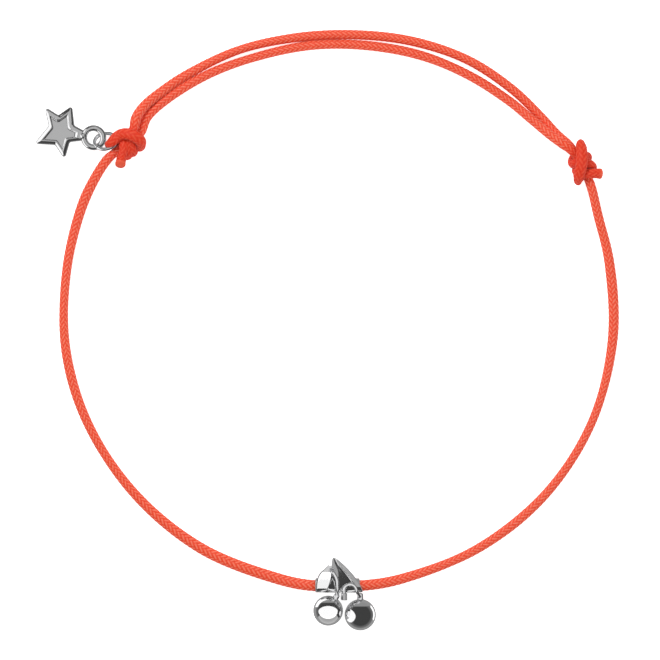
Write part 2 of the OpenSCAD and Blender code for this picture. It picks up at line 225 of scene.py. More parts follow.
def braid_coordinates(angle, along):
    """Two numbers: one counts the strands of one way, the other those of the other way."""
    turns, runs = angle / TAU, along / PITCH
    return HALF_STRANDS * (turns - runs) + BRAID_TURN, HALF_STRANDS * (turns + runs) + BRAID_TURN


def float_shape(place, across):
    """A float's height: flat-topped along its two strands' length, and round across."""
    return (FLOAT_LIFT * np.clip(FLOAT_FLAT * np.cos(math.pi * place / 2), -1, 1)
            + ROUNDNESS * np.sqrt(np.clip(1 - (across / STRAND_HALF) ** 2, 0, 1)))


def braid_height(a, b):
    """0 in the crevices to about 1 on the crests."""
    i, j = np.round(a), np.round(b)
    return np.maximum(float_shape(np.mod(i + b - PLUS_MIDDLE + 2, 4) - 2, a - i),
                      float_shape(np.mod(j + a - MINUS_MIDDLE + 2, 4) - 2, b - j))


def smooth_step(x, low, high):
    t = np.clip((x - low) / (high - low), 0, 1)
    return t * t * (3 - 2 * t)


def carried_frames(pts):
    """Headings, and a side direction that never twists about them."""
    heads = unit(np.gradient(pts, axis=0))
    side = np.cross(heads[0], [0, 0, 1.0])
    sides = [side / np.linalg.norm(side)]
    for k in range(1, len(pts)):
        s = sides[-1] - heads[k] * np.dot(sides[-1], heads[k])
        sides.append(s / np.linalg.norm(s))
    return heads, np.array(sides)


def new_mesh_piece(name, verts, faces, sharp=None):
    mesh = bpy.data.meshes.new(name)
    mesh.from_pydata([tuple(v) for v in np.asarray(verts) * MM], [], faces)
    mesh.validate()
    mesh.update()
    mesh.shade_smooth()
    if sharp:
        mesh.set_sharp_from_angle(angle=math.radians(sharp))
    piece = bpy.data.objects.new(name, mesh)
    bpy.context.collection.objects.link(piece)
    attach(piece, "root")
    return piece


# The untwisting frame of the whole cord, from which each piece takes its own stretch
FRAME_STEP = 0.05
frame_along = np.arange(0, CORD_LENGTH, FRAME_STEP)
frame_heads, frame_sides = carried_frames(at_lengths(dense, dense_along, frame_along))

# The cord inside a knot, below GRIP_TOP, is squeezed thinner; that fades out between so many
# cord diameters from the knot's middle
CORE_SQUEEZE = 0.9
GRIP_FADE = (1.5, 2.4)
GRIP_TOP = KNOT_Z + 0.15
# A tied turn's thickness, away from the cord that it grips, and its width; then the same where
# it folds back, which it does between so many cord diameters out
TURN_THICK = 0.76
TURN_WIDE = 0.94
FOLD_THICK = 0.96
FOLD_WIDE = 1.18
FOLD_OUT = (1.2, 1.55)
# How far from its joint with the loop a tied strand gets tight
TIGHT_RUN = 2.2
# The cut end, by distance from it: where the melted bead fades into braid, its swelling, the
# rounding of its edge, and where the tied strand gets its full flatness
MELT_FADE = (0.20, 0.60)
BEAD_SWELL = 0.06
BEAD_FADE = (0.1, 0.7)
BEAD_EDGE = 0.16
BEAD_TIP = 0.74
END_FADE = (0.4, 2.2)


def cord_oval(centre):
    """The share of its width that the loop's cord has at each point."""
    degrees = np.degrees(np.arctan2(centre[:, 1], centre[:, 0])) % 360
    degrees = np.where(degrees < CORD_OVAL[0][0], degrees + 360, degrees)
    return np.interp(degrees, *zip(*CORD_OVAL))


def widening(offset, shares, axes):
    """What widening each ring along its axis by a share of its width adds to its points."""
    return ((shares[:, None] * np.einsum("nkc,nc->nk", offset, axes))[..., None]
            * axes[:, None, :])


def strand_rings(first, last, sides, knot=None):
    """Rings of a braided tube over one stretch of the cord: a knot's tied strand or the loop."""
    count = int(round((last - first) / (PITCH / sides)))
    along = np.linspace(first, last, count + 1)
    centre = at_lengths(dense, dense_along, along)
    heads = unit(at_lengths(frame_heads, frame_along, along))
    side = unit(square_to(at_lengths(frame_sides, frame_along, along), heads))
    up = np.cross(heads, side)
    angle = np.arange(sides) * TAU / sides
    height = braid_height(*braid_coordinates(angle[None, :], along[:, None]))
    radius = np.full(len(along), CORD_D / 2)
    tight, melt = np.zeros(len(along)), np.zeros(len(along))
    if knot is None:
        near = np.minimum(np.linalg.norm(centre - LEFT_KNOT[0], axis=1),
                          np.linalg.norm(centre - RIGHT_KNOT[0], axis=1)) / CORD_D
        grip = (1 - smooth_step(near, *GRIP_FADE)) * (centre[:, 2] < GRIP_TOP)
        radius *= 1 - (1 - CORE_SQUEEZE) * grip
    else:
        joint, free = (last, along) if first == 0 else (first, CORD_LENGTH - along)
        tight = smooth_step(np.abs(along - joint), 0, TIGHT_RUN)
        melt = 1 - smooth_step(free, *MELT_FADE)
        radius *= 1 + BEAD_SWELL * (1 - smooth_step(free, *BEAD_FADE))
        edge = np.clip(free / BEAD_EDGE, 0, 1)
        radius *= BEAD_TIP + (1 - BEAD_TIP) * np.sqrt(1 - (1 - edge) ** 2)
    relief = (RELIEF + (TIED_RELIEF - RELIEF) * tight) * (1 - melt)
    reach = radius[:, None] + relief[:, None] * (height - CREST)
    offset = reach[..., None] * (np.cos(angle)[None, :, None] * side[:, None, :]
                                 + np.sin(angle)[None, :, None] * up[:, None, :])
    if knot is None:
        offset = offset + widening(offset, cord_oval(centre) - 1,
                                   unit(np.cross(heads, [0, 0, 1.0])))
    else:
        # A tied turn is pressed flat against the cord that it grips
        way = knot_axes(knot)[0]
        away = centre - knot[0]
        away = away - np.outer(away @ way, way)
        folded = smooth_step(np.linalg.norm(away, axis=1) / CORD_D, *FOLD_OUT)
        away = unit(square_to(away, heads))
        share = tight * smooth_step(free, *END_FADE)
        thicker = (TURN_THICK + (FOLD_THICK - TURN_THICK) * folded - 1) * share
        wider = (TURN_WIDE + (FOLD_WIDE - TURN_WIDE) * folded - 1) * share
        offset = (offset + widening(offset, thicker, away)
                  + widening(offset, wider, np.cross(heads, away)))
    return centre[:, None, :] + offset, along, melt, tight, centre


def skin_faces(count, sides, closed):
    """Faces over rings of equal count, joined last to first if closed, and else capped."""
    n, k = np.arange(count if closed else count - 1)[:, None], np.arange(sides)[None, :]
    m, k2 = (n + 1) % count, (k + 1) % sides
    faces = np.stack([n * sides + k, n * sides + k2, m * sides + k2, m * sides + k], axis=-1)
    faces = faces.reshape(-1, 4).tolist()
    if not closed:
        faces.append(list(range(sides))[::-1])
        faces.append([(count - 1) * sides + q for q in range(sides)])
    return faces


def braided_piece(name, first, last, sides, knot=None):
    rings, along, melt, tight, centre = strand_rings(first, last, sides, knot)
    faces = skin_faces(len(rings), sides, closed=False)
    piece = new_mesh_piece(name, rings.reshape(-1, 3), faces)
    # The braid's coordinates at each corner, so that the seam of the tube doesn't show
    n, k = np.arange(len(rings) - 1)[:, None], np.arange(sides)[None, :]
    corners = [np.stack(braid_coordinates((k / sides + t / sides) * TAU, along[n + r]), axis=-1)
               for t, r in ((0, 0), (1, 0), (1, 1), (0, 1))]
    braid = np.vstack([np.stack(corners, axis=2).reshape(-1, 2), np.zeros((2 * sides, 2))])
    layer = piece.data.uv_layers.new(name="braid")
    layer.data.foreach_set("uv", braid.astype(np.float32).ravel())
    for label, values in (("melted", melt), ("tight", tight)):
        layer = piece.data.attributes.new(label, "FLOAT", "POINT")
        layer.data.foreach_set("value", np.repeat(values, sides).astype(np.float32))
    return piece, centre


CORD_SIDES = 40
TIED_SIDES = 60
cord_braid, cord_line = braided_piece("cord_braid", LEFT_JOINT, RIGHT_JOINT, CORD_SIDES)
left_knot_braid, _ = braided_piece("left_knot_braid", 0, LEFT_JOINT, TIED_SIDES, LEFT_KNOT)
right_knot_braid, _ = braided_piece("right_knot_braid", RIGHT_JOINT, CORD_LENGTH, TIED_SIDES,
                                    RIGHT_KNOT)
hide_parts("cord")
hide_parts("left_knot")
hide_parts("right_knot")


class Shell:
    """Vertices and faces gathered from several closed forms, in millimetres."""

    def __init__(self):
        self.verts, self.faces = [], []

    def loops(self, rings, closed=False):
        """A skin over rings of equal count; closed joins the last ring to the first."""
        rings = np.asarray(rings)
        start = len(self.verts)
        self.verts.extend(tuple(v) for v in rings.reshape(-1, 3))
        self.faces.extend([start + i for i in face]
                          for face in skin_faces(*rings.shape[:2], closed))


def axes_about(way):
    way = unit(np.array(way, float))
    guide = np.array([0, 0, 1.0]) if abs(way[2]) < 0.9 else np.array([1.0, 0, 0])
    side = unit(np.cross(guide, way))
    return way, side, np.cross(way, side)


POLE_R = 0.0005


def lathe(shell, at, way, profile, sides, closed=False):
    """Turns a profile of (distance along, radius) about an axis."""
    way, side, up = axes_about(way)
    angle = np.arange(sides) * TAU / sides
    ring = np.cos(angle)[:, None] * side + np.sin(angle)[:, None] * up
    rings = [np.array(at) + z * way + max(r, POLE_R) * ring for z, r in profile]
    shell.loops(rings, closed=closed)


def swept(shell, points, radius, sides=24):
    """A round wire through points."""
    pts = np.asarray(points)
    heads, side = carried_frames(pts)
    up = np.cross(heads, side)
    angle = np.arange(sides) * TAU / sides
    shell.loops(pts[:, None] + radius * (np.cos(angle)[None, :, None] * side[:, None]
                                         + np.sin(angle)[None, :, None] * up[:, None]))


def arc(middle, radius, first, last, count):
    a = np.radians(np.linspace(first, last, count))
    return [(middle[0] + radius * math.cos(t), middle[1] + radius * math.sin(t)) for t in a]


def hollow_profile(length, outer, bore, lip):
    """The closed profile of a tube with rounded lips, each just under half its wall at most."""
    lip = min(lip, (outer - bore) / 2 * 0.98)
    return (arc((lip, outer - lip), lip, 180, 90, 7)
            + arc((length - lip, outer - lip), lip, 90, 0, 7)
            + arc((length - lip, bore + lip), lip, 0, -90, 7)
            + arc((lip, bore + lip), lip, -90, -180, 7))


# The leaf in slices across: y, left edge, rib, right edge, rise of its top, height of its edge
LEAF = [
    (-29.72, -1.00, -0.86, -0.54, 0.10, 1.55), (-30.00, -1.16, -0.94, -0.14, 0.35, 1.58),
    (-30.45, -1.30, -0.98, 0.38, 0.55, 1.66), (-30.95, -1.80, -1.00, 0.90, 0.75, 1.76),
    (-31.50, -2.40, -1.02, 1.40, 0.90, 1.88), (-32.10, -2.72, -1.06, 1.90, 1.00, 2.00),
    (-32.60, -2.84, -1.18, 2.24, 1.00, 2.08), (-33.05, -2.88, -1.34, 2.48, 0.95, 2.10),
    (-33.45, -2.90, -1.55, 2.66, 0.80, 2.00), (-33.78, -2.84, -1.85, 2.74, 0.50, 1.84),
]
# The left half is a dome and the right half a dish with a rim: the heights are shares of the
# slice's rise, and the depth is that of the underside
LEAF_DOME = 0.72
LEAF_RIM = 0.42
LEAF_DISH = 0.28
LEAF_DEPTH = 0.14
LEAF_DEPTH_RISE = 0.3
RIM_WIDTH = 0.6
RIM_SHARE = 0.4
DOME_SHARE = 0.46
# Share of the way from the left edge to the rib, and share of the dome's height
LEFT_HALF = [(0, 0.0), (0.05, 0.20), (0.13, 0.32), (0.36, 0.50), (0.62, 0.70),
             (0.84, 0.87), (0.95, 0.96), (1, 0.97)]
# Share of the way from the rib to the right edge, rim widths further, and shares of the dish's
# and the rim's height
RIGHT_HALF = [(0.03, 0, 1, 0), (0.30, -0.30, 0.66, 0), (0.60, -0.66, 0.56, 0),
              (1, -1.20, 0.64, 0.03), (1, -1.10, 0.4, 0.60), (1, -1.0, 0, 1.20),
              (1, -0.86, 0, 1.26), (1, -0.50, 0, 0.98), (1, -0.14, 0, 0.66), (1, 0, 0, 0.2)]
# Share of the way from the left edge to the right one, and share of the depth
UNDERSIDE = [(0.985, 0.1), (0.9, 0.7), (0.4, 1), (0.12, 0.8), (0.02, 0.2)]


def leaf_ring(y, left, rib, right, rise, base, shrink=0.0):
    """One slice of the leaf; shrink draws it in towards its middle."""
    wide = right - rib
    rim = min(RIM_WIDTH, RIM_SHARE * wide)
    dome = min(rise * LEAF_DOME, DOME_SHARE * (rib - left) + 0.02)
    left_top = [(left + t * (rib - left), base + h * dome) for t, h in LEFT_HALF]
    right_top = [(rib + t * wide + e * rim, base + rise * (d * LEAF_DISH + r * LEAF_RIM))
                 for t, e, d, r in RIGHT_HALF]
    below = [(left + t * (right - left), base - d * LEAF_DEPTH * max(rise, LEAF_DEPTH_RISE))
             for t, d in UNDERSIDE]

    def dense_of(points):
        flat = np.array([(x, 0, z) for x, z in points])
        return curve(flat, 4)[:, [0, 2]]
    ring = np.vstack([dense_of(left_top), dense_of(right_top), np.array(below)])
    middle = np.array([(left + right) / 2, base + 0.1])
    ring = middle + (ring - middle) * (1 - shrink * np.array([0.5, 1.0]))
    return np.column_stack([ring[:, 0], np.full(len(ring), y), ring[:, 1]])


leaf_rows = curve(LEAF, 5)[::-1]
# Two smaller rings round off the broad end
leaf_rings = [leaf_ring(leaf_rows[0][0] - beyond, *leaf_rows[0][1:], shrink=shrink)
              for beyond, shrink in ((0.05, 0.45), (0.03, 0.15))]
leaf_rings += [leaf_ring(*row) for row in leaf_rows]

silver_leaf = Shell()
silver_leaf.loops(leaf_rings)
lathe(silver_leaf, BAIL_AT - np.array([BAIL_LENGTH / 2, 0, 0]), (1, 0, 0),
      hollow_profile(BAIL_LENGTH, BAIL_D / 2, BAIL_BORE / 2, 0.1), sides=72, closed=True)
# The left cherry's wire ends in an upright seat on the leaf, the right one's in a sleeve at the
# leaf's broad end
SEAT_AT = np.array([-0.95, -31.25, 1.8])
SEAT_TOP = 2.32
SEAT_R = 0.42
SEAT_BORE_R = 0.29
SLEEVE_X = 0.46
SLEEVE_FROM = -34.66
SLEEVE_TO = -33.84
SLEEVE_R = 0.38
SLEEVE_BORE_R = 0.25
ARCH_Z = 2.7
FITTING_LIP = 0.06
fittings = Shell()
lathe(fittings, SEAT_AT, (0, 0, 1),
      hollow_profile(SEAT_TOP - SEAT_AT[2], SEAT_R, SEAT_BORE_R, FITTING_LIP), sides=40,
      closed=True)
lathe(fittings, (SLEEVE_X, SLEEVE_FROM, ARCH_Z), (0, 1, 0),
      hollow_profile(SLEEVE_TO - SLEEVE_FROM, SLEEVE_R, SLEEVE_BORE_R, FITTING_LIP), sides=40,
      closed=True)


def soft_block(shell, low, high, bevel):
    """A block with rounded upright edges and a bevelled top and bottom."""
    low, high = np.array(low), np.array(high)
    middle, half = (low + high) / 2, (high - low) / 2
    rings = []
    for z, inset in ((low[2], bevel), (low[2] + bevel, 0), (high[2] - bevel, 0),
                     (high[2], bevel)):
        ring = []
        for quarter, (sx, sy) in enumerate(((1, 1), (-1, 1), (-1, -1), (1, -1))):
            for t in np.radians(np.linspace(quarter * 90, quarter * 90 + 90, 5)):
                ring.append((middle[0] + sx * (half[0] - bevel) + (bevel - inset) * math.cos(t),
                             middle[1] + sy * (half[1] - bevel) + (bevel - inset) * math.sin(t),
                             z))
        rings.append(ring)
    shell.loops(rings)


# One block joins the tube to the leaf, the other carries the sleeve
soft_block(silver_leaf, (-2.4, -33.41, 1.2), (0.6, -32.71, 2.1), 0.1)
soft_block(fittings, (SLEEVE_X - 0.25, -34.24, 1.1), (SLEEVE_X + 0.25, -33.84, 2.45), 0.08)
leaf_piece = new_mesh_piece("leaf_and_bail", silver_leaf.verts, silver_leaf.faces,
                            sharp=50)
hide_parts("leaf_bail")
fittings_piece = new_mesh_piece("leaf_sleeve_and_seat", fittings.verts, fittings.faces,
                                sharp=50)
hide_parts("leaf_bail")

# The cherries
COLLAR_R = 0.36


def ball_profile(ball_r):
    return [(ball_r * math.cos(t), ball_r * math.sin(t))
            for t in np.radians(np.linspace(180, 0, 80))]


def collar_profile(ball_r, reach, stem_r):
    """A collar that flares out where it meets the ball and closes in on the stem."""
    touch = math.sqrt(ball_r ** 2 - (COLLAR_R + 0.10) ** 2)
    return [(touch - 0.06, 0.01), (touch - 0.05, COLLAR_R + 0.10), (touch + 0.01, COLLAR_R + 0.07),
            (touch + 0.05, COLLAR_R + 0.02), (touch + 0.10, COLLAR_R),
            (reach - 0.22, COLLAR_R * 0.98), (reach - 0.10, COLLAR_R * 0.93),
            (reach - 0.03, COLLAR_R * 0.82), (reach, max(stem_r, COLLAR_R * 0.6)), (reach, 0.01)]


def cherry_pieces(side, at, ball_r, way, reach, line, stem_r):
    """The ball as one piece; its collar and wire as another."""
    ball, stem = Shell(), Shell()
    lathe(ball, at, way, ball_profile(ball_r), sides=96)
    lathe(stem, at, way, collar_profile(ball_r, reach, stem_r), sides=48)
    swept(stem, line, stem_r)
    pieces = (new_mesh_piece(side + "_cherry_ball", ball.verts, ball.faces),
              new_mesh_piece(side + "_cherry_stem", stem.verts, stem.faces, sharp=50))
    for piece in pieces:
        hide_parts(side + "_cherry")
    return pieces


LEFT_BALL_R = 3.57 / 2
LEFT_BALL_AT = np.array([-1.42, -36.02, LEFT_BALL_R])
LEFT_STEM = [
    (-0.52, -34.36, 2.02), (-0.40, -34.20, 2.10), (-0.32, -33.85, 2.36), (-0.34, -33.40, 2.56),
    (-0.36, -32.90, 2.66), (-0.38, -32.45, 2.70), (-0.50, -32.00, 2.70), (-0.68, -31.66, 2.66),
    (-0.86, -31.39, 2.54), (-0.95, -31.26, 2.28), (-0.95, -31.25, 2.02),
]
left_ball_piece, left_stem_piece = cherry_pieces(
    "left", LEFT_BALL_AT, LEFT_BALL_R, (0.5, 0.866, 0.14), 2.3, curve(LEFT_STEM, 8), 0.25)

RIGHT_BALL_R = 3.74 / 2
RIGHT_BALL_AT = np.array([2.42, -36.5, RIGHT_BALL_R])
# The right wire runs out of the sleeve, over in an arch, and down to its ball
ARCH_R = 0.74
ARCH_AT = np.array([SLEEVE_X + ARCH_R, -33.55, ARCH_Z])
LEG_END = np.array([2.38, -34.35, 2.3])
arch_points = [np.array([SLEEVE_X, y, ARCH_Z]) for y in np.linspace(-34.5, -33.6, 6)]
arch_points += [ARCH_AT + ARCH_R * np.array([-math.cos(t), math.sin(t), 0])
                for t in np.radians(np.linspace(0, 180, 25))]
arch_end = ARCH_AT + np.array([ARCH_R, 0, 0])
arch_points += [arch_end + t * (LEG_END - arch_end) for t in np.linspace(0.12, 1, 8)]
right_ball_piece, right_stem_piece = cherry_pieces(
    "right", RIGHT_BALL_AT, RIGHT_BALL_R, (0, 2.6, 0.14), 2.6, arch_points, 0.19)

# The star tag: its corners as (degrees, distance from the middle)
STAR = [(11, 3.0), (33, 1.85), (75, 3.49), (106, 1.95), (132.5, 3.55), (165.5, 1.53),
        (216.5, 3.58), (259.5, 1.8), (288.5, 3.52), (321, 1.75), (349, 3.0)]
STAR_AT = np.array([-33.6, 21.48, 0.93])
STAR_TURN = (12.0, 0.0, -11.0)
STAR_ROUND = 0.28
EYELET_X = 4.09
EYELET_R = 1.16
EYELET_WIRE = 0.36


def rounded_outline(corners, radius, inset, steps=6):
    """The closed outline with an arc of one radius at each corner, then moved inwards."""
    pts = np.array(corners)
    out = []
    for k in range(len(pts)):
        before, here, after = pts[k - 1], pts[k], pts[(k + 1) % len(pts)]
        u, v = unit(before - here), unit(after - here)
        half = math.acos(np.clip(u @ v, -1, 1)) / 2
        reach = radius / math.tan(half)
        middle = here + unit(u + v) * radius / math.sin(half)
        start, end = here + u * reach - middle, here + v * reach - middle
        a0 = math.atan2(start[1], start[0])
        a1 = math.atan2(end[1], end[0])
        sweep = (a1 - a0 + math.pi) % TAU - math.pi
        left = radius - inset if sweep > 0 else radius + inset
        out += [middle + left * np.array([math.cos(a0 + sweep * t), math.sin(a0 + sweep * t)])
                for t in np.linspace(0, 1, steps)]
    return np.array(out)


def turned(points, degrees):
    """Turns about x, then y, then z, as OpenSCAD's rotate does."""
    pts = np.asarray(points, float)
    for axis, deg in enumerate(degrees):
        c, s = math.cos(math.radians(deg)), math.sin(math.radians(deg))
        m = {0: [[1, 0, 0], [0, c, -s], [0, s, c]],
             1: [[c, 0, s], [0, 1, 0], [-s, 0, c]],
             2: [[c, -s, 0], [s, c, 0], [0, 0, 1]]}[axis]
        pts = pts @ np.array(m).T
    return pts


star_corners = [(r * math.cos(math.radians(a)), r * math.sin(math.radians(a))) for a, r in STAR]
# Distance in from the outline, share of the size, and height: the edge rises to a rounded rim
# round a sunk and slightly domed face
STAR_SECTION = [(0, 1, 0), (0.01, 1, 0.08), (0.03, 1, 0.15), (0.07, 1, 0.21),
                (0.12, 1, 0.26), (0.17, 1, 0.30), (0.22, 1, 0.33), (0.265, 1, 0.355),
                (0.265, 0.95, 0.395), (0.265, 0.90, 0.43), (0.265, 0.86, 0.445),
                (0.265, 0.82, 0.44), (0.265, 0.785, 0.41), (0.265, 0.755, 0.365),
                (0.265, 0.73, 0.32), (0.265, 0.70, 0.29), (0.265, 0.64, 0.275),
                (0.265, 0.50, 0.275), (0.265, 0.30, 0.28), (0.265, 0.10, 0.28)]
# Distance from the star's middle and radius, from the neck's root to the eyelet
NECK = [(2.2, 0.1), (2.35, 0.30), (2.5, 0.40), (2.7, 0.46), (2.85, 0.48), (2.97, 0.46),
        (3.04, 0.36)]
star_shell = Shell()
star_rings = []
for inset, s, z in [(inset, s, -z) for inset, s, z in STAR_SECTION[:0:-1]] + STAR_SECTION:
    flat = rounded_outline(star_corners, STAR_ROUND, inset) * s
    star_rings.append(np.column_stack([flat, np.full(len(flat), z)]))
star_shell.loops(star_rings)
lathe(star_shell, (0, 0, 0), (1, 0, 0), NECK, sides=40)


def wire_section(radius, wire, turn):
    """A ring's round wire, cut at one angle about the ring's axis."""
    return np.array([((radius + wire * math.cos(q)) * math.cos(turn),
                      (radius + wire * math.cos(q)) * math.sin(turn), wire * math.sin(q))
                     for q in np.arange(32) * TAU / 32])


star_shell.loops([wire_section(EYELET_R, EYELET_WIRE, p) + np.array([EYELET_X, 0, 0])
                  for p in np.arange(96) * TAU / 96], closed=True)
star_verts = turned(star_shell.verts, STAR_TURN) + STAR_AT
star_piece = new_mesh_piece("star_tag_silver", star_verts, star_shell.faces, sharp=50)
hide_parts("star_tag")

# The jump ring, from one end of its wire round to the other; the join is behind the knot
RING_AT = np.array([-28.15, 20.25, 1.26])
RING_TURNS = ((28.8, 0, 0), (0, 28.9, 0), (0, 0, 145.8))
RING_R = 1.31
RING_WIRE = 0.21
RING_SPLIT = 1.2
RING_JOIN = 90
# The wire's ends are bevelled: it has this share of its radius there, and all of it so many
# degrees on
RING_PINCH = 0.8
RING_BEVEL = 0.6
ring_shell = Shell()
ring_places = [(RING_SPLIT, RING_PINCH)]
ring_places += [(p, 1) for p in np.linspace(RING_SPLIT + RING_BEVEL,
                                            360 - RING_SPLIT - RING_BEVEL, 120)]
ring_places += [(360 - RING_SPLIT, RING_PINCH)]
ring_shell.loops([wire_section(RING_R, pinch * RING_WIRE, math.radians(p + RING_JOIN))
                  for p, pinch in ring_places])
ring_verts = ring_shell.verts
for turn in RING_TURNS:
    ring_verts = turned(ring_verts, turn)
ring_piece = new_mesh_piece("jump_ring_silver", ring_verts + RING_AT, ring_shell.faces,
                            sharp=50)
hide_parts("jump_ring")


class Nodes:
    """Short names for building the node tree of a material or of the world."""

    def __init__(self, owner):
        self.owner = owner
        owner.use_nodes = True
        self.tree = owner.node_tree
        self.tree.nodes.clear()

    def add(self, kind, **settings):
        node = self.tree.nodes.new(kind)
        for key, value in settings.items():
            setattr(node, key, value)
        return node

    def link(self, source, target):
        self.tree.links.new(source, target)

    def put(self, socket, value):
        if isinstance(value, bpy.types.NodeSocket):
            self.link(value, socket)
        else:
            socket.default_value = value

    def math(self, operation, a, b=None, c=None):
        node = self.add("ShaderNodeMath", operation=operation)
        for socket, value in zip(node.inputs, (a, b, c)):
            if value is not None:
                self.put(socket, value)
        return node.outputs[0]

    def scaled(self, value, low, high, to_low, to_high):
        node = self.add("ShaderNodeMapRange")
        for name, v in (("Value", value), ("From Min", low), ("From Max", high),
                        ("To Min", to_low), ("To Max", to_high)):
            self.put(node.inputs[name], v)
        return node.outputs["Result"]

    def vector(self, x, y, z):
        node = self.add("ShaderNodeCombineXYZ")
        for socket, value in zip(node.inputs, (x, y, z)):
            self.put(socket, value)
        return node.outputs[0]

    def noise(self, where, scale, detail=2.0, roughness=0.5):
        node = self.add("ShaderNodeTexNoise")
        self.put(node.inputs["Vector"], where)
        node.inputs["Scale"].default_value = scale
        node.inputs["Detail"].default_value = detail
        node.inputs["Roughness"].default_value = roughness
        return node.outputs["Fac"]

    def ramp(self, value, stops):
        node = self.add("ShaderNodeValToRGB")
        self.put(node.inputs["Fac"], value)
        elements = node.color_ramp.elements
        while len(elements) > 1:
            elements.remove(elements[-1])
        elements[0].position, elements[0].color = stops[0][0], (*stops[0][1], 1)
        for position, colour in stops[1:]:
            elements.new(position).color = (*colour, 1)
        return node.outputs["Color"]

    def blend(self, share, a, b):
        node = self.add("ShaderNodeMix", data_type="RGBA")
        self.put(node.inputs["Factor"], share)
        self.put(node.inputs[6], a)
        self.put(node.inputs[7], b)
        return node.outputs[2]

    def bump(self, shader, height, strength, distance):
        node = self.add("ShaderNodeBump")
        node.inputs["Strength"].default_value = strength
        node.inputs["Distance"].default_value = distance
        self.link(height, node.inputs["Height"])
        self.link(node.outputs["Normal"], shader.inputs["Normal"])

    def finish(self, shader):
        out = self.add("ShaderNodeOutputMaterial")
        self.link(shader.outputs["BSDF"], out.inputs["Surface"])
        return self.owner


# Linear colours of the braid from its crevices to its crests: along the loop, and in a knot
# The darker crevice tones are painted shade, each set's last tone is a painted highlight, and the
# knot's whole set is darker with painted shade
CORD_TONES = (
    ((0.72, 0.028, 0.008), (0.83, 0.052, 0.014), (0.88, 0.073, 0.021), (0.94, 0.235, 0.150)),
    ((0.56, 0.013, 0.003), (0.69, 0.025, 0.005), (0.75, 0.037, 0.008), (0.79, 0.088, 0.038)),
)
TONE_STOPS = (0.10, 0.45, 0.80)
MELTED_COLOUR = (0.80, 0.10, 0.045, 1)
# How much the filaments, the strands and a slow wander shift the tone
FIBRE_TONE = 0.13
STRAND_TONE = 0.05
WANDER_TONE = 0.04
# The filaments' noise: its scale across a strand and along it, and its shift from one to the next
FIBRE_ACROSS = 9.0
FIBRE_ALONG = 0.55
FIBRE_SHIFT = 3.7
# What sets the numbers of the other way's strands apart, and where each float's painted highlight
# ends
OTHER_WAY = 31.0
HIGHLIGHT_HALF = 0.27
# Roughness and bump heights on the loop, and what a tight knot adds to them
ROUGH_LOW = 0.36
ROUGH_TIGHT = 0.10
ROUGH_HIGH = 0.58
ROUGH_MELTED = 0.12
BRAID_BUMP = 0.75
BRAID_BUMP_TIGHT = -0.40
FIBRE_BUMP = 0.42
# A multiple of four that keeps what goes into the modulo above zero
WRAP = 40000


